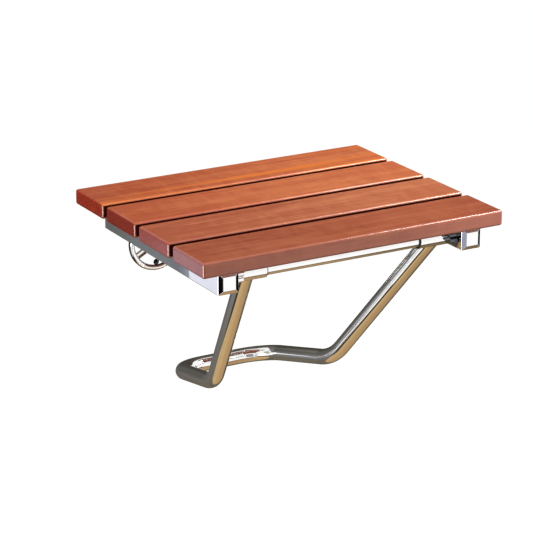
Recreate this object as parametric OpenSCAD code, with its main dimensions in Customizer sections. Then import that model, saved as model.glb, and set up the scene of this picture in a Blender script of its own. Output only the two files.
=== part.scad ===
// Fold down wall seat: four hardwood slats on a steel frame that hinges on two wall flanges,
// held level by a bent tube leg that swings on the front bar and bears against the wall.
// Frame: X to the right, Y into the wall, Z up. The wall face is the plane y = 0, and the
// origin lies on it midway between the two flanges, at the height of their centres.
// Lengths are in millimetres. The seat is drawn lowered, ready to sit on.

/* [Seat] */
// Width of the seat, along the slats
seat_w = 380; // [340:5:480]
// Depth of the seat, from its rear edge to its front edge
seat_d = 310; // [290:5:350]
// Thickness of a slat
slat_t = 18; // [14:1:24]
// Gap between two slats
slat_gap = 10; // [5:1:14]
// Rounding of every slat edge
slat_edge_r = 3; // [1:0.5:5]
// Gap between the seat's rear edge and the wall
wall_gap = 13; // [11:1:20]

/* [Rails] */
// Outside width and height of the square tube rail
rail_size = 25; // [24:1:30]
// Wall of the rail
rail_wall = 1.5; // [1:0.1:2.5]
// From the seat's side edge in to the centre line of the rail
rail_side_inset = 35.5; // [28:0.5:40]
// From the seat's front edge back to the end of the rail
rail_front_inset = 11.5; // [8:0.5:16]
// From the seat's rear edge forward to the end of the rail
rail_rear_inset = 30.5; // [26:0.5:34]

/* [Rail caps] */
// Height of the bevel on a cap
cap_bevel = 3; // [2:0.5:5]
// Width of the bevel on a cap
cap_bevel_w = 5; // [3:0.5:7]
// Straight rim of a cap, between the rail and the bevel
cap_rim = 1; // [0.5:0.1:2]
// Depth of the plug that goes into the rail
plug_depth = 10; // [8:0.5:11]
// Wall of the hollow plug
plug_wall = 1.6; // [1:0.1:2.5]

/* [Bars and bushes] */
// Diameter of the hinge shaft and of the front bar
bar_d = 16; // [14:0.5:16]
// Wall of the front bar and the hinge shaft
bar_wall = 2; // [1.5:0.1:3]
// Diameter of the sleeves that turn on the two bars
sleeve_d = 20; // [19:0.5:22]
// Wall of a bush between a bar and its sleeve
bush_wall = 0.95; // [0.8:0.05:1.2]
// Length of a bush inside its sleeve
bush_len = 12; // [8:1:16]
// Thickness of a bush's collar
bush_collar = 1; // [0.8:0.1:1.5]
// From the rear end of the rail forward to the hinge axis
hinge_inset = 12; // [11:0.5:14]
// From the front end of the rail back to the axis of the front bar
pivot_inset = 23.5; // [22:0.5:30]

/* [Leg] */
// Diameter of the leg tube
tube_d = 19; // [16:0.5:22]
// Wall of the leg tube
tube_wall = 1.5; // [1:0.1:2.5]
// From the axis of the front bar down to the centre of the tube at the wall
leg_drop = 216.5; // [190:0.5:260]
// From the tube at the wall up to the knee
knee_rise = 31.5; // [15:0.5:50]
// From the tube at the wall forward to the knee
knee_out = 131.5; // [110:0.5:150]
// How far each knee lies inward of the top of its arm
knee_inset = 39.5; // [32:0.5:46]
// How far each rear corner lies inward of its knee, measured where the centre lines cross
corner_inset = 19; // [14:0.5:22]
// Bend radius of the centre line at a knee
knee_bend_r = 68; // [45:1:80]
// Bend radius of the centre line at a rear corner
rear_bend_r = 40; // [30:1:45]
// How much the radius of a tube or bar is drawn in along a bend
bend_draw = 0.1; // [0.05:0.05:0.3]
// Length of a leg sleeve with its two bush collars
leg_sleeve_len = 44.5; // [38:0.5:50]

/* [Wall bracket] */
// Diameter of a wall flange
flange_d = 70; // [66:1:80]
// From the centre line of the rail in to the centre of the flange
flange_inset = 72.5; // [60:0.5:76]
// Thickness of the flange's plate
flange_t = 3; // [2.5:0.5:4]
// Height of the flange's rolled rim off the wall
rim_h = 6; // [5:0.5:6.5]
// How far the rolled rim bulges out past the edge of the flange's plate
rim_bulge = 0.3; // [0.2:0.1:0.6]
// Height of the flange's middle boss off the wall
boss_h = 10; // [8:0.5:14]
// Width of a groove pressed into the flange's plate
groove_w = 8.5; // [6:0.5:10]
// Depth of a groove
groove_depth = 1.5; // [0.8:0.1:1.6]
// Height of the hinge axis above the centre of the flange
hinge_rise = 53.5; // [53:0.5:60]
// Diameter of the bracket's bar
bracket_d = 16; // [12:0.5:16]
// Bend radius of the bracket's centre line
bracket_bend_r = 15; // [12:0.5:16]
// Diameter of the circle on which the wall screws lie
screw_circle_d = 50; // [46:1:50]
// Diameter of the hole for a wall screw
wall_hole_d = 7; // [5:0.5:7]
// Number of wall screws in a flange, and of grooves between them
wall_holes = 3; // [3:1:3]

/* [Leg stop] */
// Diameter of the stop pin in the rail
stop_pin_d = 6; // [5:0.5:7]
// Length of the stop pin beside the rail
stop_pin_len = 11; // [8:0.5:14]
// From the axis of the front bar to the axis of the stop pin
stop_reach = 16.5; // [15.5:0.5:18]
// Angle of the stop pin above a level line that points forward
stop_angle = 17; // [12:1:20]
// Width of the lug on the sleeve
lug_w = 9; // [6:0.5:12]
// Thickness of the lug
lug_t = 7; // [5:0.5:9]

/* [Slat screws] */
// Diameter of a slat screw
screw_d = 4.2; // [3.5:0.1:5]
// Depth of a slat screw in the wood
screw_bite = 12; // [8:0.5:12.5]
// Diameter of the screw's head
screw_head_d = 9; // [7:0.5:10]
// Height of the screw's head
screw_head_h = 3; // [2:0.1:4]
// From the seat's rear edge forward to the rear pair of screws
rear_screw_y = 52; // [50:0.5:60]

/* [Hidden] */

// Smoothness of the round shapes
$fn = 96;

// Clearances
run_fit = 0.05;      // radial clearance of a bar in a bush
seat_fit = 0.02;     // radial clearance of pieces that are pressed together
end_play = 0.2;      // between a bush collar and the rail
stop_play = 0.1;     // between the lug and the stop pin
plug_fit = 0.2;      // each side of a cap's plug
hole_fit = 0.4;      // radial clearance of a screw in the rail
access_fit = 1;      // radial clearance of a screw head in the rail's lower wall
overrun = 1;         // how far a cutting shape runs past what it cuts
bend_lap = 0.6;      // how far a straight tube or bar reaches into a bend

// Numbers of pieces
slat_count = 4;

// Colours
wood = [0.71, 0.34, 0.21];
steel = [0.78, 0.79, 0.81];
chrome = [0.88, 0.89, 0.91];
nylon = [0.16, 0.16, 0.17];
zinc = [0.62, 0.64, 0.66];

// Places of the seat
slat_w = (seat_d - (slat_count - 1) * slat_gap) / slat_count;
hinge_z = hinge_rise;
slat_base_z = hinge_z + rail_size / 2;
rear_y = -wall_gap;
front_y = -wall_gap - seat_d;
rail_rear_y = rear_y - rail_rear_inset;
rail_front_y = front_y + rail_front_inset;
rail_x = seat_w / 2 - rail_side_inset;
rail_face_x = rail_x - rail_size / 2;
hinge_y = rail_rear_y - hinge_inset;
pivot_y = rail_front_y + pivot_inset;
pivot_z = hinge_z;

// Radii of the turning pairs
bar_r = bar_d / 2;
sleeve_r = sleeve_d / 2;
bush_bore_r = bar_r + run_fit;
bush_r = bush_bore_r + bush_wall;
sleeve_bore_r = bush_r + seat_fit;

// Places of the leg: the top of the arm, the knee and the rear corner of the right half
tube_r = tube_d / 2;
sleeve_out_x = rail_face_x - end_play;
arm_top = [sleeve_out_x - leg_sleeve_len / 2, pivot_y, pivot_z];
rear_corner = [arm_top.x - knee_inset - corner_inset, -tube_r, pivot_z - leg_drop];
knee = [arm_top.x - knee_inset, rear_corner.y - knee_out, rear_corner.z + knee_rise];

// Places of the flange and its bracket
flange_x = rail_x - flange_inset;
bracket_r = bracket_d / 2;
tenon_r = bracket_r * 0.75;
bracket_sleeve_in_x = flange_x - sleeve_r;

// Places of the slat screws, from the rear pair to the front pair
screw_rows = [for (i = [0 : slat_count - 1])
    i == 0 ? rear_y - rear_screw_y : rear_y - i * (slat_w + slat_gap) - slat_w / 2];
screw_r = screw_d / 2;
head_r = screw_head_d / 2;

// The left and the right side, as signs of X
sides = [-1, 1];

function unit(v) = v / norm(v);
function flipped(p, side) = [side * p.x, p.y, p.z];

// A bar along X between two places on it, around the line at height z and depth y
module bar_x(x0, x1, y, z, r) {
    translate([min(x0, x1), y, z])
        rotate([0, 90, 0])
            cylinder(h = abs(x1 - x0), r = r);
}

// A round bar from one point to another
module run(p, q, r) {
    d = q - p;
    translate(p)
        rotate([0, acos(d.z / norm(d)), atan2(d.y, d.x)])
            cylinder(h = norm(d), r = r);
}

// Where the straight parts at a corner end, for a bend of radius bend_r between two directions
function tangent_len(a, corner, b, bend_r) =
    bend_r / tan(acos(unit(a - corner) * unit(b - corner)) / 2);

// A bend of a round bar at a corner that lies between the points a and b
module bend(a, corner, b, bend_r, r) {
    u1 = unit(a - corner);
    u2 = unit(b - corner);
    opening = acos(u1 * u2);
    centre = corner + unit(u1 + u2) * bend_r / sin(opening / 2);
    start = corner + u1 * tangent_len(a, corner, b, bend_r);
    e1 = unit(start - centre);
    e2 = -u1;
    e3 = cross(e1, e2);
    multmatrix([[e1.x, e2.x, e3.x, centre.x],
                [e1.y, e2.y, e3.y, centre.y],
                [e1.z, e2.z, e3.z, centre.z],
                [0, 0, 0, 1]])
        rotate_extrude(angle = 180 - opening)
            translate([bend_r, 0])
                circle(r = r);
}

// A rectangle with round corners
module soft_rect(w, h, r) {
    translate([0, r])
        square([w, h - 2 * r]);
    translate([r, 0])
        square([w - 2 * r, h]);
    for (x = [r, w - r], y = [r, h - r])
        translate([x, y])
            circle(r = r);
}

// A box with every edge rounded: what its plan, its front and its side outlines share
module soft_box(size, r) {
    intersection() {
        linear_extrude(size.z)
            soft_rect(size.x, size.y, r);
        translate([0, size.y, 0])
            rotate([90, 0, 0])
                linear_extrude(size.y)
                    soft_rect(size.x, size.z, r);
        rotate([90, 0, 90])
            linear_extrude(size.x)
                soft_rect(size.y, size.z, r);
    }
}

// Slat number i, counted from the wall
module slat(i) {
    slat_rear_y = rear_y - i * (slat_w + slat_gap);
    color(wood)
        difference() {
            translate([-seat_w / 2, slat_rear_y - slat_w, slat_base_z])
                soft_box([seat_w, slat_w, slat_t], slat_edge_r);
            for (s = sides)
                translate([s * rail_x, screw_rows[i], slat_base_z - overrun])
                    cylinder(h = screw_bite + overrun, r = screw_r + seat_fit);
        }
}

// Square tube under the slats. Its upper wall takes the slat screws, its lower wall lets
// their heads through, and its inner wall holds the stop pin.
module rail(side) {
    bore = rail_size - 2 * rail_wall;
    rail_len = rail_rear_y - rail_front_y;
    color(steel)
        difference() {
            translate([side * rail_x - rail_size / 2, rail_front_y, hinge_z - rail_size / 2])
                cube([rail_size, rail_len, rail_size]);
            translate([side * rail_x - bore / 2, rail_front_y - overrun, hinge_z - bore / 2])
                cube([bore, rail_len + 2 * overrun, bore]);
            for (y = screw_rows)
                translate([side * rail_x, y, hinge_z]) {
                    cylinder(h = rail_size, r = screw_r + hole_fit);
                    mirror([0, 0, 1])
                        cylinder(h = rail_size, r = head_r + access_fit);
                }
            stop_bar(side, rail_face_x + rail_wall + overrun, seat_fit);
        }
}

// A bevelled cap at one end of a rail: its rim, four sloping faces and a hollow plug.
// It points forward for end = -1 and backward for end = 1.
module cap(side, end) {
    end_y = end < 0 ? rail_front_y : rail_rear_y;
    plug = rail_size - 2 * rail_wall - 2 * plug_fit;
    hollow = plug - 2 * plug_wall;
    half = rail_size / 2;
    profile = [[-half, 0], [half, 0], [half, cap_rim],
               [half - cap_bevel_w, cap_rim + cap_bevel],
               [-half + cap_bevel_w, cap_rim + cap_bevel], [-half, cap_rim]];
    color(chrome)
        translate([side * rail_x, end_y, hinge_z])
            scale([1, end, 1]) {
                intersection() {
                    translate([0, 0, -half])
                        linear_extrude(rail_size)
                            polygon(profile);
                    rotate([0, 90, 0])
                        translate([0, 0, -half])
                            linear_extrude(rail_size)
                                polygon(profile);
                }
                difference() {
                    translate([-plug / 2, -plug_depth, -plug / 2])
                        cube([plug, plug_depth, plug]);
                    translate([-hollow / 2, -plug_depth - overrun, -hollow / 2])
                        cube([hollow, plug_depth, hollow]);
                }
            }
}

// A tube between the inner faces of the two rails, on the line at depth y
module cross_tube(y) {
    color(steel)
        difference() {
            bar_x(-rail_face_x, rail_face_x, y, hinge_z, bar_r);
            bar_x(-rail_face_x - overrun, rail_face_x + overrun, y, hinge_z, bar_r - bar_wall);
        }
}

// The eight screws that hold the slats: a shank through the rail's upper wall into the
// wood, and a domed head against that wall from inside the rail
module slat_screws() {
    seat_z = slat_base_z - rail_wall;
    color(zinc)
        for (s = sides, y = screw_rows)
            translate([s * rail_x, y, seat_z]) {
                cylinder(h = rail_wall + screw_bite - screw_r, r = screw_r);
                translate([0, 0, rail_wall + screw_bite - screw_r])
                    cylinder(h = screw_r, r1 = screw_r, r2 = screw_r / 4);
                mirror([0, 0, 1]) {
                    cylinder(h = screw_head_h / 2, r = head_r);
                    translate([0, 0, screw_head_h / 2])
                        cylinder(h = screw_head_h / 2, r1 = head_r, r2 = head_r / 2);
                }
            }
}

// The line of a stop pin from a place on X to its tip, grown by a clearance
module stop_bar(side, x_out, grow) {
    bar_x(side * x_out, side * (rail_face_x - stop_pin_len),
          pivot_y - stop_reach * cos(stop_angle), pivot_z + stop_reach * sin(stop_angle),
          stop_pin_d / 2 + grow);
}

// The two pins that the leg's lugs come to rest against, one in the inner wall of each rail
module stop_pins() {
    color(steel)
        for (s = sides)
            stop_bar(s, rail_face_x + rail_wall, 0);
}

// Round wall flange: a plate with a rolled rim and a conical boss, three screw holes, and
// three round bottomed grooves from the boss to the rim, each midway between two holes
module wall_flange(side) {
    rim_r = rim_h / 2;
    rim_x = flange_d / 2 - rim_r;
    groove_r = (pow(groove_w / 2, 2) + pow(groove_depth, 2)) / (2 * groove_depth);
    hole_step = 360 / wall_holes;
    boss_r = bracket_r * 1.25;
    cone_r = bracket_r * 2;
    color(chrome)
        translate([side * flange_x, 0, 0])
            rotate([90, 0, 0])
                difference() {
                    union() {
                        cylinder(h = flange_t, r = flange_d / 2 - rim_bulge);
                        rotate_extrude()
                            translate([rim_x, rim_r])
                                circle(r = rim_r);
                        translate([0, 0, flange_t])
                            cylinder(h = boss_h - flange_t, r1 = cone_r, r2 = boss_r);
                    }
                    translate([0, 0, -overrun])
                        cylinder(h = boss_h + 2 * overrun, r = tenon_r + seat_fit);
                    for (i = [0 : wall_holes - 1])
                        rotate([0, 0, -90 + i * hole_step]) {
                            translate([screw_circle_d / 2, 0, -overrun])
                                cylinder(h = rim_h + 2 * overrun, r = wall_hole_d / 2);
                            rotate([0, 0, 180])
                                bar_x(cone_r, rim_x - rim_r - overrun, 0,
                                      flange_t - groove_depth + groove_r, groove_r);
                        }
                }
}

// Bracket of one flange: a tenon in the flange, a round bar that runs forward, bends up and
// carries the hinge sleeve, which reaches out to the rail
module hinge_bracket(side) {
    x = side * flange_x;
    bend_end = bracket_bend_r - bend_lap;
    foot = [x, -boss_h, 0];
    corner = [x, hinge_y, 0];
    head = [x, hinge_y, hinge_z];
    sleeve_end_x = sleeve_out_x - bush_collar;
    bore_end_x = sleeve_end_x + overrun;
    color(steel)
        difference() {
            union() {
                run([x, 0, 0], foot, tenon_r);
                run(foot, corner + [0, bend_end, 0], bracket_r);
                bend(foot, corner, head, bracket_bend_r, bracket_r - bend_draw);
                run(corner + [0, 0, bend_end], head, bracket_r);
                bar_x(side * bracket_sleeve_in_x, side * sleeve_end_x, hinge_y, hinge_z, sleeve_r);
            }
            bar_x(side * (bracket_sleeve_in_x - overrun), side * bore_end_x,
                  hinge_y, hinge_z, sleeve_bore_r);
        }
}

// A flanged bush whose collar lies outside x, with its barrel going in the direction dir
module bush(x, dir, y) {
    color(nylon)
        difference() {
            union() {
                bar_x(x, x + dir * bush_len, y, hinge_z, bush_r);
                bar_x(x - dir * bush_collar, x, y, hinge_z, sleeve_r);
            }
            bar_x(x - dir * (bush_collar + overrun), x + dir * (bush_len + overrun),
                  y, hinge_z, bush_bore_r);
        }
}

// The four bushes of the hinge, one in each end of the two bracket sleeves
module hinge_bushes() {
    for (s = sides) {
        bush(s * (sleeve_out_x - bush_collar), -s, hinge_y);
        bush(s * bracket_sleeve_in_x, s, hinge_y);
    }
}

// The centre line of the leg, grown to a radius r, between its two arm tops. The bends are
// drawn a little thinner than the straight tube, which reaches just into them.
module leg_path(r) {
    knee_cut = tangent_len(arm_top, knee, rear_corner, knee_bend_r) - bend_lap;
    rear_cut = tangent_len(knee, rear_corner, flipped(rear_corner, -1), rear_bend_r) - bend_lap;
    for (s = sides) {
        a = flipped(arm_top, s);
        k = flipped(knee, s);
        c = flipped(rear_corner, s);
        run(a, k + unit(a - k) * knee_cut, r);
        bend(a, k, c, knee_bend_r, r - bend_draw);
        run(k + unit(c - k) * knee_cut, c + unit(k - c) * rear_cut, r);
        bend(k, c, flipped(rear_corner, -s), rear_bend_r, r - bend_draw);
    }
    run(rear_corner - [rear_cut, 0, 0], flipped(rear_corner, -1) + [rear_cut, 0, 0], r);
}

// The leg: one tube with four bends, its two ends coped to fit round the sleeves
module leg_tube() {
    color(steel)
        difference() {
            leg_path(tube_r);
            leg_path(tube_r - tube_wall);
            bar_x(-sleeve_out_x, sleeve_out_x, pivot_y, pivot_z, sleeve_r);
        }
}

// A sleeve of the leg, which turns on the front bar beside the rail
module leg_sleeve(side) {
    in_x = sleeve_out_x - leg_sleeve_len + bush_collar;
    out_x = sleeve_out_x - bush_collar;
    color(steel)
        difference() {
            bar_x(side * in_x, side * out_x, pivot_y, pivot_z, sleeve_r);
            bar_x(side * (in_x - overrun), side * (out_x + overrun),
                  pivot_y, pivot_z, sleeve_bore_r);
        }
}

// The four bushes of the leg, one in each end of the two leg sleeves
module leg_bushes() {
    for (s = sides) {
        bush(s * (sleeve_out_x - bush_collar), -s, pivot_y);
        bush(s * (sleeve_out_x - leg_sleeve_len + bush_collar), s, pivot_y);
    }
}

// The two lugs on the leg sleeves. The upper face of a lug meets the stop pin when the leg
// is fully open, and a rounded tip ends just past the pin.
module stop_lugs() {
    pin_r = stop_pin_d / 2;
    face_angle = stop_angle - asin((pin_r + stop_play) / stop_reach);
    tip = stop_reach + pin_r / 2;
    color(steel)
        for (s = sides)
            translate([s * (sleeve_out_x - bush_collar - lug_w / 2), pivot_y, pivot_z])
                rotate([-face_angle, 0, 0])
                    difference() {
                        union() {
                            translate([-lug_w / 2, -tip + lug_t / 2, -lug_t])
                                cube([lug_w, tip - lug_t / 2, lug_t]);
                            translate([-lug_w / 2, -tip + lug_t / 2, -lug_t / 2])
                                rotate([0, 90, 0])
                                    cylinder(h = lug_w, r = lug_t / 2);
                        }
                        translate([-lug_w, 0, 0])
                            rotate([0, 90, 0])
                                cylinder(h = 2 * lug_w, r = sleeve_r);
                    }
}

slat(0);  // slat_rear
slat(1);  // slat_middle_rear
slat(2);  // slat_middle_front
slat(3);  // slat_front
rail(-1);  // rail_left
rail(1);  // rail_right
cap(-1, -1);  // front_cap_left
cap(1, -1);  // front_cap_right
cap(-1, 1);  // rear_cap_left
cap(1, 1);  // rear_cap_right
cross_tube(hinge_y);  // hinge_shaft
cross_tube(pivot_y);  // front_bar
slat_screws();
stop_pins();
wall_flange(-1);  // wall_flange_left
wall_flange(1);  // wall_flange_right
hinge_bracket(-1);  // hinge_bracket_left
hinge_bracket(1);  // hinge_bracket_right
hinge_bushes();
leg_tube();
leg_sleeve(-1);  // leg_sleeve_left
leg_sleeve(1);  // leg_sleeve_right
leg_bushes();
stop_lugs();
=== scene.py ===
"""Looks of the fold down wall seat: oiled hardwood slats on polished steel tube.

Frame: X to the right, Y into the wall, Z up, in metres. The wall face is the plane y = 0.
"""
import math

import bmesh
import bpy
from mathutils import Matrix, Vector


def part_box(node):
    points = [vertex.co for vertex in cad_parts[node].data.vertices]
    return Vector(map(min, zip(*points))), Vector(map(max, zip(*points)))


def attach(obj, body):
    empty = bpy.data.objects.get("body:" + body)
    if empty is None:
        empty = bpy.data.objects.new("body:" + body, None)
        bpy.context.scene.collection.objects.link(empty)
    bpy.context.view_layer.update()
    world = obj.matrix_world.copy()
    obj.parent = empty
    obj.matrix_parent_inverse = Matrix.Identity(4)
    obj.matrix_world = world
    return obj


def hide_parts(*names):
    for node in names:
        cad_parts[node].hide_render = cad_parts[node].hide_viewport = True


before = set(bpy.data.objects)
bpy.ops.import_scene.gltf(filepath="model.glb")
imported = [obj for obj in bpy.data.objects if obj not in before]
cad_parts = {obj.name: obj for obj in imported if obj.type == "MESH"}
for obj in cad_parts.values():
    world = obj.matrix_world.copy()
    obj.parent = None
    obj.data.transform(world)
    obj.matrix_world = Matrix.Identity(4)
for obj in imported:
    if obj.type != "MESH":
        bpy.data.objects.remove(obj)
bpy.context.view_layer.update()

# Places and sizes, read from the frame or written as the real size
MM = 0.001
SLATS = ["slat_rear", "slat_middle_rear", "slat_middle_front", "slat_front"]
SIDES = {"left": -1, "right": 1}

bar_low, bar_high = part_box("front_bar")
PIVOT = (bar_low + bar_high) / 2
shaft_low, shaft_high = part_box("hinge_shaft")
HINGE = (shaft_low + shaft_high) / 2
BAR_R = (bar_high.z - bar_low.z) / 2
BAR_WALL = 2 * MM
rail_low, rail_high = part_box("rail_right")
RAIL_SIZE = rail_high.x - rail_low.x
RAIL_X = (rail_low.x + rail_high.x) / 2
RAIL_WALL = 1.5 * MM
RAIL_CORNER_R = 1.2 * MM
SLAT_EDGE_R = 3 * MM

sleeve_low, sleeve_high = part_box("leg_sleeve_right")
SLEEVE_R = (sleeve_high.z - sleeve_low.z) / 2
SLEEVE_BORE_R = 9.02 * MM
BUSH_BORE_R = 8.05 * MM
BUSH_COLLAR = 1 * MM
BUSH_LEN = 12 * MM
BUSH_PLAY = 0.02 * MM
BUSH_EDGE_R = 0.2 * MM
SLEEVE_EDGE_R = 0.3 * MM

# The leg's centre line on the right: its top on the front bar, the knee and the rear corner
TUBE_R = 9.5 * MM
ARM_TOP = Vector(((sleeve_low.x + sleeve_high.x) / 2, PIVOT.y, PIVOT.z))
KNEE = Vector((80.05, -141, -131.5)) * MM
REAR_CORNER = Vector((61.05, -9.5, -163)) * MM
KNEE_BEND_R = 68 * MM
REAR_BEND_R = 40 * MM
KNEE_STEPS = 20
REAR_STEPS = 22
COPE_REACH_SHARE = 1.3

# Wall flange and bracket
flange_low, flange_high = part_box("wall_flange_right")
FLANGE_X = (flange_low.x + flange_high.x) / 2
FLANGE_R = (flange_high.x - flange_low.x) / 2
FLANGE_T = 3 * MM
RIM_H = 6 * MM
RIM_BULGE = 0.3 * MM
RIM_ARC_FROM = 165
RIM_ARC_STEPS = 14
BOSS_H = -flange_low.y
BOSS_R = 10 * MM
CONE_R = 16 * MM
GROOVE_W = 8.5 * MM
GROOVE_DEPTH = 1.5 * MM
GROOVE_TO_RIM = 1 * MM
FILLET_R = 0.8 * MM
BRACKET_R = 8 * MM
BRACKET_BEND_R = 15 * MM
BRACKET_STEPS = 16
BRACKET_CUT_SHARE = 0.98
SCREW_CIRCLE_R = 25 * MM
WALL_HOLE_R = 3.5 * MM

# Stop pins and lugs
STOP_REACH = 16.5 * MM
STOP_ANGLE = math.radians(17)
STOP_PIN_R = 3 * MM
STOP_PIN_SHOWN = 11 * MM
STOP_PIN_EDGE_R = 0.5 * MM
STOP_PLAY = 0.1 * MM
LUG_W = 9 * MM
LUG_T = 7 * MM
LUG_TIP_SHARE = 0.49
LUG_EDGE_R = 0.4 * MM

# Slat screws
SCREW_HEAD_R = 4.5 * MM
SCREW_HEAD_H = 3 * MM
SCREW_R = 2.1 * MM
ACCESS_HOLE_R = 5.5 * MM
REAR_SCREW_INSET = 52 * MM
SCREW_SHANK = 12 * MM
SCREW_DOME_SHARE = 0.6
RECESS_REACH = 2.4 * MM
RECESS_W = 1.1 * MM
RECESS_DEPTH = 1.6 * MM

# How far a cutting tool stands past what it cuts, and how close two points are one
OVERRUN = 1 * MM
SAME_POINT = 0.001 * MM
SAME_POINT_MIRRORED = 0.01 * MM

# A face looks along an axis when this much of its normal lies on it
NEARLY_ALL = 0.9

# Flat facets that stand for a round side
ROD_FACETS = 72
TUBE_FACETS = 56
HOLE_FACETS = 40
FLANGE_FACETS = 128
GROOVE_FACETS = 120
SCREW_FACETS = 36
PLUG_FACETS = 32


# Modelling tools

def deselect():
    """Leaves edit mode and selects nothing."""
    if bpy.context.object is not None and bpy.context.object.mode != "OBJECT":
        bpy.ops.object.mode_set(mode="OBJECT")
    bpy.ops.object.select_all(action="DESELECT")


def choose(*pieces):
    """Selects these pieces, the first of them active."""
    deselect()
    for piece in pieces:
        piece.select_set(True)
    bpy.context.view_layer.objects.active = pieces[0]


def edit(piece):
    """Opens a piece in edit mode."""
    choose(piece)
    bpy.ops.object.mode_set(mode="EDIT")
    bpy.ops.mesh.select_mode(type="VERT")


def leave():
    """Leaves edit mode."""
    bpy.ops.object.mode_set(mode="OBJECT")


def pick(piece, kind, test):
    """In edit mode, selects the faces or the edges that pass a test of their place."""
    bpy.ops.mesh.select_mode(type=kind)
    bpy.ops.mesh.select_all(action="DESELECT")
    mesh = bmesh.from_edit_mesh(piece.data)
    parts = {"FACE": mesh.faces, "EDGE": mesh.edges}[kind]
    for part in parts:
        if test(part):
            part.select_set(True)
    mesh.select_flush_mode()
    bmesh.update_edit_mesh(piece.data)


def round_picked(width, segments):
    """In edit mode, rounds the selected edges."""
    bpy.ops.mesh.bevel(offset=width, segments=segments, profile=0.5, affect="EDGES")


def draw_on(step):
    """In edit mode, extrudes what is selected by a step."""
    bpy.ops.mesh.extrude_region_move(TRANSFORM_OT_translate={"value": step})


def place_in_mesh(piece):
    """Puts a piece's place, turn and scale into its mesh."""
    choose(piece)
    bpy.ops.object.transform_apply(location=True, rotation=True, scale=True)


def added_piece(name):
    """The piece that was just added, named and with its place in its mesh."""
    piece = bpy.context.object
    piece.name = name
    place_in_mesh(piece)
    return piece


def box_piece(name, low, high):
    """A box between two corners."""
    deselect()
    low, high = Vector(low), Vector(high)
    bpy.ops.mesh.primitive_cube_add(size=1, location=(low + high) / 2)
    bpy.context.object.scale = high - low
    return added_piece(name)


def rod_piece(name, start, end, radius, facets):
    """A round rod between two points."""
    deselect()
    start, end = Vector(start), Vector(end)
    bpy.ops.mesh.primitive_cylinder_add(
        vertices=facets, radius=radius, depth=(end - start).length,
        location=(start + end) / 2, rotation=(end - start).to_track_quat("Z", "Y").to_euler())
    return added_piece(name)


def apply_modifier(piece, kind, **settings):
    choose(piece)
    modifier = piece.modifiers.new(kind.lower(), kind)
    for key, value in settings.items():
        setattr(modifier, key, value)
    bpy.ops.object.modifier_apply(modifier=modifier.name)


def cut(piece, tool):
    """Cuts a tool body out of a piece, and removes the tool body."""
    apply_modifier(piece, "BOOLEAN", object=tool, operation="DIFFERENCE", solver="EXACT")
    bpy.data.objects.remove(tool)


def join(name, pieces):
    """Joins pieces that are fixed to each other into one."""
    choose(*pieces)
    bpy.ops.object.join()
    piece = bpy.context.object
    piece.name = name
    return piece


def copy_of(piece, name, shift=(0, 0, 0)):
    """A copy with its own mesh, moved by a shift."""
    choose(piece)
    bpy.ops.object.duplicate(linked=False)
    made = bpy.context.object
    made.name = name
    made.location = Vector(shift)
    place_in_mesh(made)
    return made


def mirrored(piece, name):
    """A copy of a piece on the other side of the plane x = 0, its faces still pointing out."""
    made = copy_of(piece, name)
    edit(made)
    bpy.ops.mesh.select_all(action="SELECT")
    bpy.ops.transform.mirror(constraint_axis=(True, False, False), center_override=(0, 0, 0))
    leave()
    face_out(made)
    return made


def face_out(piece):
    """Merges double points and turns every face outward."""
    edit(piece)
    bpy.ops.mesh.select_all(action="SELECT")
    bpy.ops.mesh.remove_doubles(threshold=SAME_POINT)
    bpy.ops.mesh.normals_make_consistent(inside=False)
    if bmesh.from_edit_mesh(piece.data).calc_volume(signed=True) < 0:
        bpy.ops.mesh.flip_normals()
    leave()


def round_edges(piece, width, segments):
    """Rounds the sharp edges of a finished form."""
    apply_modifier(piece, "BEVEL", width=width, segments=segments, limit_method="ANGLE",
                   angle_limit=math.radians(50), use_clamp_overlap=True)


def smooth(piece, angle=35):
    """Smooth shading across shallow angles, with the large flat faces kept flat."""
    choose(piece)
    bpy.ops.object.shade_smooth_by_angle(angle=math.radians(angle))
    apply_modifier(piece, "WEIGHTED_NORMAL", keep_sharp=True, weight=80)


def finish_piece(piece, material, body, slot, *nodes):
    """Gives a piece its material and its body, and hides the frame's nodes that it stands for."""
    piece.data.materials.clear()
    piece.data.materials.append(material)
    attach(piece, body)
    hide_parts(*nodes)


# Materials
WHITE = (1, 1, 1)


def start_material(name):
    """A new material, with its nodes and its main shader."""
    material = bpy.data.materials.new(name)
    material.use_nodes = True
    return material, material.node_tree, material.node_tree.nodes["Principled BSDF"]


def empty_material(name):
    """A material without any shader node."""
    material, tree, _ = start_material(name)
    tree.nodes.clear()
    return material, tree


def add_node(tree, kind, **inputs):
    """Adds a shader node, with values for its named inputs."""
    node = tree.nodes.new(kind)
    for key, value in inputs.items():
        node.inputs[key.replace("_", " ")].default_value = value
    return node


def place_in_frame(tree, shift=(0, 0, 0), scale=(1, 1, 1)):
    """The place in the frame, in metres, scaled along each axis and then moved by a shift."""
    mapping = add_node(tree, "ShaderNodeMapping", Location=shift, Scale=scale)
    coords = tree.nodes.new("ShaderNodeTexCoord")
    tree.links.new(coords.outputs["Object"], mapping.inputs["Vector"])
    return mapping.outputs["Vector"]


def place_along(tree, axis):
    """The place along one axis of the frame, in metres."""
    split = tree.nodes.new("ShaderNodeSeparateXYZ")
    tree.links.new(place_in_frame(tree), split.inputs["Vector"])
    return split.outputs[axis]


def noise(tree, cycles, detail, roughness=0.55, distortion=0.0, shift=(0, 0, 0)):
    """Noise with a number of cycles to the metre along each axis."""
    node = add_node(tree, "ShaderNodeTexNoise", Scale=1.0, Detail=detail,
                    Roughness=roughness, Distortion=distortion)
    tree.links.new(place_in_frame(tree, shift, cycles), node.inputs["Vector"])
    return node.outputs["Fac"]


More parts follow.
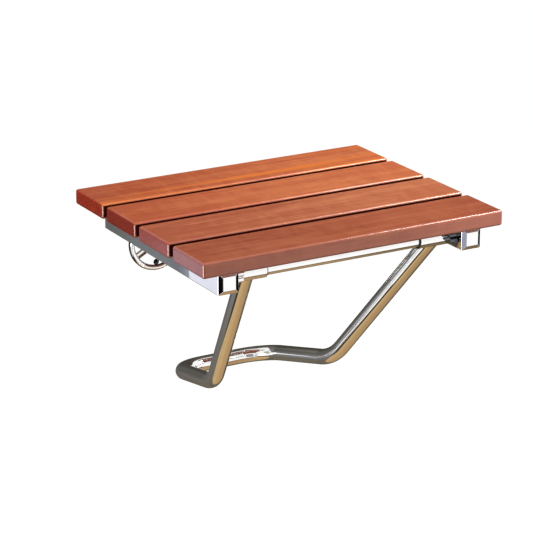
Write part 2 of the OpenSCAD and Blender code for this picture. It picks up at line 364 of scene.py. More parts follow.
def remap(tree, value, low, high, to_low, to_high):
    node = add_node(tree, "ShaderNodeMapRange", From_Min=low, From_Max=high,
                    To_Min=to_low, To_Max=to_high)
    tree.links.new(value, node.inputs["Value"])
    return node.outputs["Result"]


def combine_values(tree, operation, first, second):
    node = tree.nodes.new("ShaderNodeMath")
    node.operation = operation
    for socket, value in zip(node.inputs, (first, second)):
        if isinstance(value, float):
            socket.default_value = value
        else:
            tree.links.new(value, socket)
    return node.outputs["Value"]


def blend_colours(tree, factor, first, second):
    node = tree.nodes.new("ShaderNodeMix")
    node.data_type = "RGBA"
    tree.links.new(factor, node.inputs["Factor"])
    for socket, value in ((node.inputs[6], first), (node.inputs[7], second)):
        if isinstance(value, tuple):
            socket.default_value = (*value, 1)
        else:
            tree.links.new(value, socket)
    return node.outputs[2]


def bands(tree, place, stops):
    """A colour that changes with a place, through stops of a place and a colour."""
    first, last = stops[0][0], stops[-1][0]
    node = tree.nodes.new("ShaderNodeValToRGB")
    points = node.color_ramp.elements
    for number, (spot, colour) in enumerate([stops[0], stops[-1]] + stops[1:-1]):
        share = (spot - first) / (last - first)
        point = points[number] if number < 2 else points.new(share)
        if number < 2:
            point.position = share
        point.color = (*colour, 1)
    tree.links.new(remap(tree, place, first, last, 0.0, 1.0), node.inputs["Fac"])
    return node.outputs["Color"]


def tint(tree, colour, shade):
    """A colour multiplied by a shade."""
    node = tree.nodes.new("ShaderNodeMix")
    node.data_type = "RGBA"
    node.blend_type = "MULTIPLY"
    node.inputs["Factor"].default_value = 1.0
    tree.links.new(colour, node.inputs[6])
    tree.links.new(shade, node.inputs[7])
    return node.outputs[2]


def add_bump(tree, shader, height, strength, distance):
    bump = add_node(tree, "ShaderNodeBump", Strength=strength, Distance=distance)
    tree.links.new(height, bump.inputs["Height"])
    tree.links.new(bump.outputs["Normal"], shader.inputs["Normal"])


# Oiled wood: the light and the dark tone of each slat, how far amber bands show, how far
# pale lines show, and how much darker its left end is, partly its own tone, partly painted shade
SLAT_TONES = {
    "slat_rear": ((0.66, 0.190, 0.070), (0.42, 0.075, 0.027), 0.75, 0.08, 0.55),
    "slat_middle_rear": ((0.66, 0.200, 0.078), (0.46, 0.093, 0.036), 0.1, 0.12, 0.7),
    "slat_middle_front": ((0.60, 0.200, 0.090), (0.40, 0.092, 0.042), 0.0, 0.25, 0.8),
    "slat_front": ((0.46, 0.130, 0.060), (0.31, 0.064, 0.028), 0.0, 0.12, 0.4)}
# The light and the dark tone of each slat's ends, and how far their oil shines. The paler,
# pinker ends of the two front slats are partly a painted sheen
END_TONES = {
    "slat_rear": ((0.55, 0.060, 0.022), (0.34, 0.028, 0.012), 0.3),
    "slat_middle_rear": ((0.42, 0.050, 0.024), (0.26, 0.024, 0.013), 0.35),
    "slat_middle_front": ((0.58, 0.125, 0.100), (0.43, 0.092, 0.075), 0.9),
    "slat_front": ((0.60, 0.215, 0.215), (0.48, 0.172, 0.172), 1.0)}
# The patterns in the wood: cycles to the metre along each axis, detail, roughness, distortion
GRAIN = {
    "fibres": ((9, 210, 210), 5, 0.66, 0.3),
    "broad_bands": ((2.4, 40, 40), 2, 0.5, 0.5),
    "dark_streaks": ((7, 150, 150), 4, 0.6, 0.3),
    "ripple": ((60, 26, 26), 3, 0.55, 0.8),
    "pores": ((60, 1400, 1400), 3, 0.5, 0.0),
    "pale_lines": ((11, 300, 300), 4, 0.6, 0.15),
    "amber_bands": ((3.2, 62, 62), 2, 0.5, 0.3),
    "end_rings": ((30, 260, 620), 4, 0.6, 0.5)}
# What darkens the long faces: a pattern, the range of it that counts, and the tones it adds
DARKENING = [("fibres", 0.34, 0.66, 0.0, 0.4), ("broad_bands", 0.38, 0.62, 0.0, 0.32),
             ("ripple", 0.35, 0.65, -0.15, 0.15)]
# Which sides of a slat face a gap, along Y
GAP_SIDES = {"slat_rear": (-1,), "slat_middle_rear": (-1, 1), "slat_middle_front": (-1, 1),
             "slat_front": (1,)}
STREAK = (0.17, 0.020, 0.008)
AMBER = (0.80, 0.200, 0.030)
PALE = (0.84, 0.34, 0.16)
# Painted light: the tone the front slat's face takes on its right, where the lamp falls
PAINTED_FRONT_LIGHT = (0.68, 0.200, 0.118)
GAP_SHADE = (0.03, 0.002, 0.002)
GAP_REACH = 30 * MM
AMBER_BAND_W = 32 * MM
# Where shades begin and end along the slats
LEFT_SHADE_X = (-190 * MM, 60 * MM)
RIGHT_SHADE_X = (120 * MM, 180 * MM)
PAINTED_FRONT_LIGHT_X = (50 * MM, 170 * MM)


def long_grain(tree, node, grain):
    """The colour of a slat's long faces: tones, then amber, dark streaks, pale lines and pores."""
    light_tone, dark_tone, amber_share, pale_share, left_shade = SLAT_TONES[node]
    along = place_along(tree, "X")
    # Darker towards the left end: partly the wood's own tone, partly painted shade away from the
    # lamp on the right
    tone = remap(tree, along, *LEFT_SHADE_X, left_shade, 0.0)
    for pattern, *settings in DARKENING:
        tone = combine_values(tree, "ADD", tone, remap(tree, grain[pattern], *settings))
    if node == "slat_front":
        tone = combine_values(tree, "ADD", tone, remap(tree, along, *RIGHT_SHADE_X, 0.0, 0.35))
    amber = grain["amber_bands"]
    if node == "slat_rear":
        front_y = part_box(node)[0].y
        amber = combine_values(tree, "ADD", amber, remap(
            tree, place_along(tree, "Y"), front_y, front_y + AMBER_BAND_W, 0.13, 0.0))
    colour = blend_colours(tree, tone, light_tone, dark_tone)
    for share, layer in (
            (remap(tree, amber, 0.56, 0.68, 0.0, amber_share), AMBER),
            (remap(tree, grain["dark_streaks"], 0.58, 0.72, 0.0, 0.4), STREAK),
            (remap(tree, grain["pale_lines"], 0.57, 0.66, 0.0, pale_share), PALE),
            (remap(tree, grain["pores"], 0.6, 0.72, 0.0, 0.3), STREAK)):
        colour = blend_colours(tree, share, colour, layer)
    return colour


def paint_front_light(tree, face, towards_back):
    """Painted light: wood that is lighter on the right of the face that looks ahead, where the lamp
    on the right front falls.
    """
    ahead = remap(tree, towards_back, -0.5, -0.9, 0.0, 0.6)
    ahead = combine_values(tree, "MULTIPLY", ahead,
                           remap(tree, place_along(tree, "X"), *PAINTED_FRONT_LIGHT_X, 0.0, 1.0))
    return blend_colours(tree, ahead, face, PAINTED_FRONT_LIGHT)


def open_to_light(tree, node, towards_back):
    """One where a slat lies open to the light, and zero towards its gaps, which stay dark."""
    corners = add_node(tree, "ShaderNodeAmbientOcclusion", Distance=GAP_REACH)
    share = remap(tree, corners.outputs["AO"], 0.35, 0.7, 0.0, 1.0)
    for side in GAP_SIDES[node]:
        towards = combine_values(tree, "MULTIPLY", towards_back, float(side))
        share = combine_values(tree, "MULTIPLY", share,
                               remap(tree, towards, 0.93, 0.999, 1.0, 0.0))
    return share


def wood(node, number):
    """Wood of one slat. The number moves the pattern, so that no two slats are the same."""
    material, tree, shader = start_material("oiled wood of " + node.replace("_", " "))
    shift = (number * 0.73 + 0.2, number * 3.1, number * 1.7)
    grain = {name: noise(tree, *settings, shift=shift) for name, settings in GRAIN.items()}
    coords = tree.nodes.new("ShaderNodeTexCoord")
    facing = tree.nodes.new("ShaderNodeSeparateXYZ")
    tree.links.new(coords.outputs["Normal"], facing.inputs["Vector"])
    face = long_grain(tree, node, grain)
    if node == "slat_front":
        face = paint_front_light(tree, face, facing.outputs["Y"])
    end_light, end_dark, end_shine = END_TONES[node]
    rings = remap(tree, grain["end_rings"], 0.35, 0.65, 0.0, 1.0)
    end = blend_colours(tree, rings, end_light, end_dark)
    sideways = combine_values(tree, "ABSOLUTE", facing.outputs["X"], 0.0)
    is_end = remap(tree, sideways, 0.55, 0.9, 0.0, 1.0)
    open_share = open_to_light(tree, node, facing.outputs["Y"])
    colour = blend_colours(tree, open_share, GAP_SHADE, blend_colours(tree, is_end, face, end))
    tree.links.new(colour, shader.inputs["Base Color"])
    shader.inputs["Roughness"].default_value = 0.5
    shader.inputs["Specular IOR Level"].default_value = 0.0
    shine = combine_values(tree, "MULTIPLY", open_share,
                           remap(tree, is_end, 0.0, 1.0, 1.0, end_shine))
    tree.links.new(shine, shader.inputs["Coat Weight"])
    shader.inputs["Coat IOR"].default_value = 1.6
    shader.inputs["Coat Roughness"].default_value = 0.16
    relief = combine_values(tree, "ADD", grain["fibres"],
                            combine_values(tree, "MULTIPLY", grain["pores"], -0.5))
    add_bump(tree, shader, relief, 0.09, 0.25 * MM)
    return material


# The patterns in polished metal, in cycles to the metre
SMEAR_CYCLES = (38, 38, 38)
HAIR_CYCLES = (900, 160, 900)


def polished(name, colour, roughness, waviness, scratches):
    """Polished metal with faint waves and hair scratches."""
    material, tree, shader = start_material(name)
    smears = noise(tree, SMEAR_CYCLES, 4, 0.6, 0.3)
    hairs = noise(tree, HAIR_CYCLES, 5, 0.7, shift=(0.3, 0.1, 0))
    dull = tuple(channel * 0.9 for channel in colour)
    tree.links.new(blend_colours(tree, remap(tree, smears, 0.45, 0.75, 0.0, 0.6), colour, dull),
                   shader.inputs["Base Color"])
    rough = combine_values(tree, "ADD", remap(tree, smears, 0.3, 0.7, roughness, roughness * 1.8),
                           remap(tree, hairs, 0.55, 0.8, 0.0, scratches))
    tree.links.new(rough, shader.inputs["Roughness"])
    shader.inputs["Metallic"].default_value = 1.0
    waves = noise(tree, SMEAR_CYCLES, 1, 0.5, 0.3)
    add_bump(tree, shader, waves, waviness, 0.2 * MM)
    return material


# The chrome of the flanges: the painted shade of its lines, and the painted shade inside a drilled
# hole
PAINTED_LINE_SHADE = (0.16, 0.155, 0.15)
HOLE_SHADE = (0.006, 0.006, 0.006)
RING_CYCLES = 180.0
SPOT_CYCLES = (60, 60, 60)


def turn_angles(first):
    """Three angles, a third of a turn apart, from the first in degrees."""
    return [math.radians(first + 120 * turn) for turn in range(3)]


HOLE_ANGLES = turn_angles(-90)
GROOVE_ANGLES = turn_angles(90)


def reach_along(tree, vector, direction):
    """How far a vector reaches along a direction."""
    node = tree.nodes.new("ShaderNodeVectorMath")
    node.operation = "DOT_PRODUCT"
    node.inputs[1].default_value = direction
    tree.links.new(vector, node.inputs[0])
    return node.outputs["Value"]


def from_point(tree, point):
    """The way from a point on the wall face, measured in the wall's plane."""
    return place_in_frame(tree, (-point.x, 0, -point.z), (1, 0, 1))


def length_of(tree, vector):
    node = tree.nodes.new("ShaderNodeVectorMath")
    node.operation = "LENGTH"
    tree.links.new(vector, node.inputs[0])
    return node.outputs["Value"]


def painted_rim_shade(tree, from_centre):
    """A painted shade, dark at the foot of the rim and at its outer edge."""
    foot = FLANGE_R - RIM_H
    return bands(tree, length_of(tree, from_centre), [
        (0.0, WHITE), (foot - 1.1 * MM, WHITE), (foot - 0.5 * MM, PAINTED_LINE_SHADE),
        (foot + 0.4 * MM, PAINTED_LINE_SHADE), (foot + 0.9 * MM, WHITE),
        (FLANGE_R - 1.3 * MM, WHITE), (FLANGE_R - 0.7 * MM, PAINTED_LINE_SHADE), (FLANGE_R, PAINTED_LINE_SHADE)])


def painted_groove_shade(tree, from_centre, angle):
    """A painted shade, dark along both edges of the groove at an angle."""
    along = reach_along(tree, from_centre, (math.cos(angle), 0, math.sin(angle)))
    across = reach_along(tree, from_centre, (-math.sin(angle), 0, math.cos(angle)))
    edge = GROOVE_W / 2
    lines = bands(tree, combine_values(tree, "ABSOLUTE", across, 0.0), [
        (0.0, WHITE), (edge - 1.3 * MM, WHITE), (edge - 0.9 * MM, PAINTED_LINE_SHADE),
        (edge, PAINTED_LINE_SHADE), (edge + 0.4 * MM, WHITE), (FLANGE_R, WHITE)])
    inside = combine_values(tree, "MULTIPLY", remap(tree, along, CONE_R, CONE_R + MM, 0.0, 1.0),
                            remap(tree, along, FLANGE_R - RIM_H - MM, FLANGE_R - RIM_H, 1.0, 0.0))
    return blend_colours(tree, inside, WHITE, lines)


def turned(name, colour, roughness, centre):
    """Polished metal that was turned about a line along Y, which leaves faint rings."""
    material, tree, shader = start_material(name)
    rings = add_node(tree, "ShaderNodeTexWave", Scale=RING_CYCLES, Distortion=1.5, Detail=3.0)
    rings.wave_type = "RINGS"
    rings.rings_direction = "Y"
    tree.links.new(place_in_frame(tree, (-centre.x, 0, -centre.z)), rings.inputs["Vector"])
    smears = noise(tree, SPOT_CYCLES, 4, 0.6, 0.3)
    dull = tuple(channel * 0.88 for channel in colour)
    plain = blend_colours(tree, remap(tree, smears, 0.4, 0.7, 0.0, 0.7), colour, dull)
    from_centre = from_point(tree, centre)
    # Painted shade on the lines of the rim and of the grooves
    shaded = tint(tree, plain, painted_rim_shade(tree, from_centre))
    for angle in GROOVE_ANGLES:
        shaded = tint(tree, shaded, painted_groove_shade(tree, from_centre, angle))
    # The flat back has no grooves and no rim
    at_back = remap(tree, place_along(tree, "Y"), -0.6 * MM, -0.2 * MM, 0.0, 1.0)
    shade = blend_colours(tree, at_back, shaded, plain)
    # Painted shade: the metal turns black inside each screw hole
    for angle in HOLE_ANGLES:
        hole = centre + Vector((math.cos(angle), 0, math.sin(angle))) * SCREW_CIRCLE_R
        outside = remap(tree, length_of(tree, from_point(tree, hole)),
                        WALL_HOLE_R + 0.1 * MM, WALL_HOLE_R + 0.4 * MM, 0.0, 1.0)
        shade = blend_colours(tree, outside, HOLE_SHADE, shade)
    tree.links.new(shade, shader.inputs["Base Color"])
    tree.links.new(remap(tree, rings.outputs["Fac"], 0.0, 1.0, roughness, roughness * 2),
                   shader.inputs["Roughness"])
    shader.inputs["Metallic"].default_value = 1.0
    add_bump(tree, shader, rings.outputs["Fac"], 0.01, 0.05 * MM)
    return material


NYLON_DARK = (0.012, 0.012, 0.013)
NYLON_PALE = (0.022, 0.022, 0.024)
NYLON_GRAIN_CYCLES = (2500, 2500, 2500)
NYLON_PATCH_CYCLES = (120, 120, 120)


def nylon(name):
    """Moulded nylon with a fine grain and faint patches."""
    material, tree, shader = start_material(name)
    grain = noise(tree, NYLON_GRAIN_CYCLES, 3)
    patches = noise(tree, NYLON_PATCH_CYCLES, 3)
    tree.links.new(blend_colours(tree, patches, NYLON_DARK, NYLON_PALE),
                   shader.inputs["Base Color"])
    tree.links.new(remap(tree, patches, 0.3, 0.7, 0.48, 0.6), shader.inputs["Roughness"])
    shader.inputs["Specular IOR Level"].default_value = 0.25
    add_bump(tree, shader, grain, 0.1, 0.05 * MM)
    return material


TUBE_COLOUR = (0.93, 0.93, 0.925)
FLANGE_COLOUR = (0.95, 0.95, 0.955)
# The painted shade of the stop pins and lugs on the right
STOP_SHADE = (0.12, 0.13, 0.15)


def paint_shade_right(material):
    """Paints shade on a metal, darker to the right: the photograph is dark beside the right cap
    only.
    """
    tree = material.node_tree
    base = tree.nodes["Principled BSDF"].inputs["Base Color"]
    shade = bands(tree, place_along(tree, "X"), [
        (-160 * MM, WHITE), (0.0, WHITE), (100 * MM, STOP_SHADE), (160 * MM, STOP_SHADE)])
    tree.links.new(tint(tree, base.links[0].from_socket, shade), base)


wood_of = {node: wood(node, number) for number, node in enumerate(SLATS)}
tube_steel = polished("polished tube steel", TUBE_COLOUR, 0.03, 0.004, 0.03)
rail_steel = polished("polished rail steel", (0.92, 0.925, 0.93), 0.012, 0.003, 0.02)
cap_chrome = polished("bright chrome", (0.95, 0.945, 0.965), 0.02, 0.006, 0.02)
stop_steel = polished("polished stop steel", TUBE_COLOUR, 0.03, 0.004, 0.03)
screw_zinc = polished("bright zinc", (0.6, 0.62, 0.65), 0.22, 0.2, 0.1)
bush_nylon = nylon("black nylon")
paint_shade_right(stop_steel)


# Slats

def make_slat(node):
    low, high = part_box(node)
    slat = box_piece(node + "_oiled", low, high)
    edit(slat)
    bpy.ops.mesh.select_all(action="SELECT")
    round_picked(SLAT_EDGE_R, 6)
    leave()
    smooth(slat, angle=40)
    finish_piece(slat, wood_of[node], "seat", "slat_wood", node)


for node in SLATS:
    make_slat(node)

# Rows of slat screws: one in the middle of each slat, but the rear one clear of the hinge
slat_boxes = [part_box(node) for node in SLATS]
SCREW_ROWS = [(low.y + high.y) / 2 for low, high in slat_boxes]
SCREW_ROWS[0] = slat_boxes[0][1].y - REAR_SCREW_INSET


# Rails: a square tube with round corners, with an access hole below each slat screw

def make_rail():
    rail = box_piece("rail_right_polished", rail_low, rail_high)
    edit(rail)
    pick(rail, "FACE", lambda face: abs(face.normal.y) > NEARLY_ALL)
    bpy.ops.mesh.delete(type="FACE")
    pick(rail, "EDGE", lambda edge: abs(edge.verts[0].co.y - edge.verts[1].co.y) > RAIL_SIZE)
    round_picked(RAIL_CORNER_R, 5)
    leave()
    apply_modifier(rail, "SOLIDIFY", thickness=RAIL_WALL, offset=-1, use_even_offset=True)
    for y in SCREW_ROWS:
        below = Vector((RAIL_X, y, rail_low.z - RAIL_WALL))
        above = below + Vector((0, 0, 3 * RAIL_WALL))
        tool = rod_piece("tool", below, above, ACCESS_HOLE_R, HOLE_FACETS)
        cut(rail, tool)
    face_out(rail)
    smooth(rail)
    return rail


rail_right = make_rail()
rail_left = mirrored(rail_right, "rail_left_polished")
smooth(rail_left)
finish_piece(rail_right, rail_steel, "seat", "rail_steel", "rail_right")
finish_piece(rail_left, rail_steel, "seat", "rail_steel", "rail_left")


# Rail caps: a rim, four slopes and a flat face, with the plug behind
CAP_RIM = 1 * MM
CAP_SLOPE_W = 5 * MM
CAP_PLUG_INSET = 1.7 * MM
CAP_PLUG_DEPTH = 10 * MM
CAP_EDGE_R = 0.25 * MM


def make_cap(node, outward):
    """The cap of one rail end, which faces along outward times Y."""
    low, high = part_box(node)
    face_y = low.y if outward < 0 else high.y
    seat_y = rail_low.y if outward < 0 else rail_high.y
    rim_y = seat_y + outward * CAP_RIM
    cap = box_piece(node + "_chromed", (low.x, min(seat_y, rim_y), low.z),
                    (high.x, max(seat_y, rim_y), high.z))
    centre = (low + high) / 2
    keep = 1 - 2 * CAP_SLOPE_W / RAIL_SIZE
    edit(cap)
    pick(cap, "FACE", lambda face: face.normal.y * outward > NEARLY_ALL)
    draw_on((0, face_y - rim_y, 0))
    bpy.ops.transform.resize(value=(keep, 1, keep), center_override=(centre.x, face_y, centre.z))
    pick(cap, "EDGE", lambda edge: any((v.co.y - seat_y) * outward > CAP_RIM / 2
                                       for v in edge.verts))
    round_picked(CAP_EDGE_R, 3)
    pick(cap, "FACE", lambda face: face.normal.y * outward < -NEARLY_ALL)
    bpy.ops.mesh.inset(thickness=CAP_PLUG_INSET, depth=0)
    draw_on((0, -outward * CAP_PLUG_DEPTH, 0))
    leave()
    face_out(cap)
    smooth(cap, angle=20)
    finish_piece(cap, cap_chrome, "seat", "cap_chrome", node)


for side in SIDES:
    make_cap("front_cap_" + side, -1)
    make_cap("rear_cap_" + side, 1)


# Bars, sleeves and bushes that share the two turning lines

def pipe(name, x_from, x_to, line, outer_r, bore_r, edge_r=0.0):
    """A pipe along X round a line. Its end edges are rounded when an edge radius is given."""
    start = Vector((x_from, line.y, line.z))
    end = Vector((x_to, line.y, line.z))
    made = rod_piece(name, start, end, outer_r, ROD_FACETS)
    past = (end - start).normalized() * OVERRUN
    bore = rod_piece("tool", start - past, end + past, bore_r, ROD_FACETS)
    cut(made, bore)
    if edge_r:
        round_edges(made, edge_r, 2)
    return made


def make_cross_bar(name, node, line):
    low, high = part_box(node)
    bar = pipe(name, low.x, high.x, line, BAR_R, BAR_R - BAR_WALL)
    smooth(bar)
    finish_piece(bar, tube_steel, "seat", "tube_steel", node)


make_cross_bar("front_bar_polished", "front_bar", PIVOT)
make_cross_bar("hinge_shaft_polished", "hinge_shaft", HINGE)


def make_bushes(name, body, line, sleeve_in, sleeve_out, node):
    """The four bushes on one line, in the inner and the outer ends of two sleeves."""
    bushes = []
    for sleeve_end, way in ((sleeve_out, -1), (sleeve_in, 1)):
        for s in SIDES.values():
            x, inward = s * sleeve_end, s * way
            barrel = pipe("barrel", x, x + inward * BUSH_LEN, line,
                          SLEEVE_BORE_R - BUSH_PLAY, BUSH_BORE_R)
            collar = pipe("collar", x - inward * BUSH_COLLAR, x, line,
                          SLEEVE_R, BUSH_BORE_R, BUSH_EDGE_R)
            bushes += [barrel, collar]
    made = join(name, bushes)
    face_out(made)
    smooth(made)
    finish_piece(made, bush_nylon, body, "bush_nylon", node)


BRACKET_SLEEVE_IN = FLANGE_X - SLEEVE_R
BRACKET_SLEEVE_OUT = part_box("hinge_bracket_right")[1].x
make_bushes("hinge_bushes_black", "wall_mount", HINGE, BRACKET_SLEEVE_IN, BRACKET_SLEEVE_OUT,
            "hinge_bushes")
make_bushes("leg_bushes_black", "leg", PIVOT, sleeve_low.x, sleeve_high.x, "leg_bushes")

for side, s in SIDES.items():
    sleeve = pipe("leg_sleeve_" + side + "_polished", s * sleeve_low.x, s * sleeve_high.x,
                  PIVOT, SLEEVE_R, SLEEVE_BORE_R, SLEEVE_EDGE_R)
    smooth(sleeve)
    finish_piece(sleeve, tube_steel, "leg", "tube_steel", "leg_sleeve_" + side)


# Bent tubes: a ring that is drawn along straight runs and spun round bends

def bend_at(before, corner, after, bend_r):
    """Where a bend at a corner starts and ends, with its centre, axis and angle."""
    back = (before - corner).normalized()
    on = (after - corner).normalized()
    opening = back.angle(on)
    reach = bend_r / math.tan(opening / 2)
    centre = corner + (back + on).normalized() * bend_r / math.sin(opening / 2)
    start = corner + back * reach
    end = corner + on * reach
    axis = (start - centre).cross(end - centre).normalized()
    return start, end, centre, axis, math.pi - opening


def drawn_ring(name, start, towards, radius):
    """A filled ring across a tube's start, left selected in edit mode."""
    deselect()
    turn = (Vector(towards) - Vector(start)).to_track_quat("Z", "Y").to_euler()
    bpy.ops.mesh.primitive_circle_add(vertices=TUBE_FACETS, radius=radius, fill_type="NGON",
                                      location=start, rotation=turn)
    piece = added_piece(name)
    edit(piece)
    bpy.ops.mesh.select_all(action="SELECT")
    return piece


def spin_on(centre, axis, angle, steps):
    bpy.ops.mesh.spin(steps=steps, angle=-angle, center=centre, axis=axis)


def make_leg():
    other_corner = Vector((-REAR_CORNER.x, REAR_CORNER.y, REAR_CORNER.z))
    knee_in, knee_out, knee_centre, knee_axis, knee_angle = bend_at(
        ARM_TOP, KNEE, REAR_CORNER, KNEE_BEND_R)
    rear_in, rear_out, rear_centre, rear_axis, rear_angle = bend_at(
        KNEE, REAR_CORNER, other_corner, REAR_BEND_R)
    leg = drawn_ring("leg_tube_polished", ARM_TOP, KNEE, TUBE_R)
    draw_on(knee_in - ARM_TOP)
    spin_on(knee_centre, knee_axis, knee_angle, KNEE_STEPS)
    draw_on(rear_in - knee_out)
    spin_on(rear_centre, rear_axis, rear_angle, REAR_STEPS)
    draw_on(Vector((-rear_out.x, 0, 0)))
    bpy.ops.mesh.delete(type="ONLY_FACE")
    leave()
    apply_modifier(leg, "MIRROR", use_axis=(True, False, False), use_mirror_merge=True,
                   merge_threshold=SAME_POINT_MIRRORED)
    face_out(leg)
    reach = ARM_TOP.x * COPE_REACH_SHARE
    cope = rod_piece("tool", (-reach, PIVOT.y, PIVOT.z), (reach, PIVOT.y, PIVOT.z),
                     SLEEVE_R, ROD_FACETS)
    cut(leg, cope)
    smooth(leg)
    finish_piece(leg, tube_steel, "leg", "tube_steel", "leg_tube")


make_leg()


# Wall flanges and their brackets

def make_bracket():
    foot = Vector((FLANGE_X, -BOSS_H, 0))
    corner = Vector((FLANGE_X, HINGE.y, 0))
    head = Vector((FLANGE_X, HINGE.y, HINGE.z))
    bend_in, bend_out, centre, axis, angle = bend_at(foot, corner, head, BRACKET_BEND_R)
    bracket = drawn_ring("hinge_bracket_right_polished", foot, corner, BRACKET_R)
    draw_on(bend_in - foot)
    spin_on(centre, axis, angle, BRACKET_STEPS)
    draw_on(head - bend_out)
    leave()
    face_out(bracket)
    end = Vector((BRACKET_SLEEVE_OUT, HINGE.y, HINGE.z))
    start = Vector((BRACKET_SLEEVE_IN, HINGE.y, HINGE.z))
    cope = rod_piece("tool", start, end, SLEEVE_R * BRACKET_CUT_SHARE, ROD_FACETS)
    cut(bracket, cope)
    sleeve = pipe("sleeve", start.x, end.x, HINGE, SLEEVE_R, SLEEVE_BORE_R, SLEEVE_EDGE_R)
    bracket = join("hinge_bracket_right_polished", [bracket, sleeve])
    smooth(bracket)
    return bracket


def arc(centre, radius, start, stop, steps):
    """Points of a profile on an arc, as a radius and a height, with angles in degrees."""
    for number in range(steps + 1):
        angle = math.radians(start + (stop - start) * number / steps)
        yield (centre[0] + radius * math.cos(angle), centre[1] + radius * math.sin(angle))


def lathe(name, profile, centre):
    """Turns a profile of radii and heights about a line that comes out of the wall."""
    deselect()
    points = [centre + Vector((radius, -height, 0)) for radius, height in profile]
    bpy.ops.mesh.primitive_plane_add(size=MM, location=points[0])
    piece = added_piece(name)
    edit(piece)
    bpy.ops.mesh.select_all(action="SELECT")
    bpy.ops.mesh.merge(type="CENTER")
    for before, after in zip(points, points[1:]):
        bpy.ops.mesh.extrude_vertices_move(TRANSFORM_OT_translate={"value": after - before})
    bpy.ops.mesh.select_all(action="SELECT")
    bpy.ops.mesh.spin(steps=FLANGE_FACETS, angle=math.tau, center=centre, axis=(0, 1, 0))
    leave()
    face_out(piece)
    return piece


def make_flange():
    """A disc with a rolled rim and a conical boss, three grooves and three screw holes."""
    centre = Vector((FLANGE_X, 0, 0))
    rim_r = RIM_H / 2
    rim_x = FLANGE_R - rim_r
    profile = [(0, BOSS_H), (BOSS_R - FILLET_R / 2, BOSS_H), (BOSS_R, BOSS_H - FILLET_R / 2),
               (CONE_R - FILLET_R / 2, FLANGE_T + FILLET_R), (CONE_R, FLANGE_T + FILLET_R / 3),
               (CONE_R + FILLET_R, FLANGE_T)]
    profile += [(rim_x - rim_r - FILLET_R / 2, FLANGE_T), (rim_x - rim_r, FLANGE_T + FILLET_R / 2)]
    edge_angle = -math.degrees(math.acos(1 - RIM_BULGE / rim_r))
    profile += list(arc((rim_x, rim_r), rim_r, RIM_ARC_FROM, edge_angle, RIM_ARC_STEPS))
    profile += [(FLANGE_R - RIM_BULGE, 0), (0, 0)]
    flange = lathe("wall_flange_right_chromed", profile, centre)
    groove_r = ((GROOVE_W / 2) ** 2 + GROOVE_DEPTH ** 2) / (2 * GROOVE_DEPTH)
    lift = Vector((0, -(FLANGE_T - GROOVE_DEPTH + groove_r), 0))
    for angle in HOLE_ANGLES:
        out = Vector((math.cos(angle), 0, math.sin(angle)))
        behind = centre + out * SCREW_CIRCLE_R + Vector((0, OVERRUN, 0))
        ahead = behind - Vector((0, RIM_H + 2 * OVERRUN, 0))
        hole = rod_piece("tool", behind, ahead, WALL_HOLE_R, HOLE_FACETS)
        cut(flange, hole)
        groove = rod_piece("tool", centre + lift - out * CONE_R,
                           centre + lift - out * (rim_x - rim_r - GROOVE_TO_RIM),
                           groove_r, GROOVE_FACETS)
        cut(flange, groove)
    face_out(flange)
    smooth(flange, angle=28)
    return flange


bracket_right = make_bracket()
bracket_left = mirrored(bracket_right, "hinge_bracket_left_polished")
smooth(bracket_left)
flange_right = make_flange()
flange_left = mirrored(flange_right, "wall_flange_left_chromed")
smooth(flange_left, angle=32)
for side, bracket, flange in (("left", bracket_left, flange_left),
                              ("right", bracket_right, flange_right)):
    finish_piece(bracket, tube_steel, "wall_mount", "tube_steel", "hinge_bracket_" + side)
    centre = Vector((SIDES[side] * FLANGE_X, 0, 0))
    finish_piece(flange, turned("turned chrome " + side, FLANGE_COLOUR, 0.03, centre),
                 "wall_mount", "flange_chrome", "wall_flange_" + side)


# Leg stop: a pin in each rail, and the lug on each sleeve that comes to rest against it

def make_stop_pins():
    y = PIVOT.y - STOP_REACH * math.cos(STOP_ANGLE)
    z = PIVOT.z + STOP_REACH * math.sin(STOP_ANGLE)
    outer_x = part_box("stop_pins")[1].x
    inner_x = rail_low.x - STOP_PIN_SHOWN
    pins = [rod_piece("pin", (s * outer_x, y, z), (s * inner_x, y, z), STOP_PIN_R, HOLE_FACETS)
            for s in SIDES.values()]
    for pin in pins:
        round_edges(pin, STOP_PIN_EDGE_R, 3)
    made = join("stop_pins_polished", pins)
    smooth(made)
    finish_piece(made, stop_steel, "seat", "tube_steel", "stop_pins")


def make_stop_lugs():
    face_angle = STOP_ANGLE - math.asin((STOP_PIN_R + STOP_PLAY) / STOP_REACH)
    tip = STOP_REACH + STOP_PIN_R / 2
    x = sleeve_high.x - LUG_W / 2
    lugs = []
    for s in SIDES.values():
        lug = box_piece("lug", (s * x - LUG_W / 2, PIVOT.y - tip, PIVOT.z - LUG_T),
                        (s * x + LUG_W / 2, PIVOT.y, PIVOT.z))
        edit(lug)
        pick(lug, "EDGE", lambda edge: all(v.co.y < PIVOT.y - tip / 2 for v in edge.verts)
             and abs(edge.verts[0].co.x - edge.verts[1].co.x) > MM)
        round_picked(LUG_T * LUG_TIP_SHARE, 8)
        bpy.ops.mesh.select_all(action="SELECT")
        bpy.ops.transform.rotate(value=face_angle, orient_axis="X", center_override=PIVOT)
        leave()
        round_edges(lug, LUG_EDGE_R, 2)
        cope = rod_piece("tool", (s * (x - LUG_W), PIVOT.y, PIVOT.z),
                         (s * (x + LUG_W), PIVOT.y, PIVOT.z), SLEEVE_R, ROD_FACETS)
        cut(lug, cope)
        lugs.append(lug)
    made = join("stop_lugs_polished", lugs)
    smooth(made)
    finish_piece(made, stop_steel, "leg", "tube_steel", "stop_lugs")


make_stop_pins()
make_stop_lugs()


# Slat screws: a domed head with a cross recess, modelled once and copied

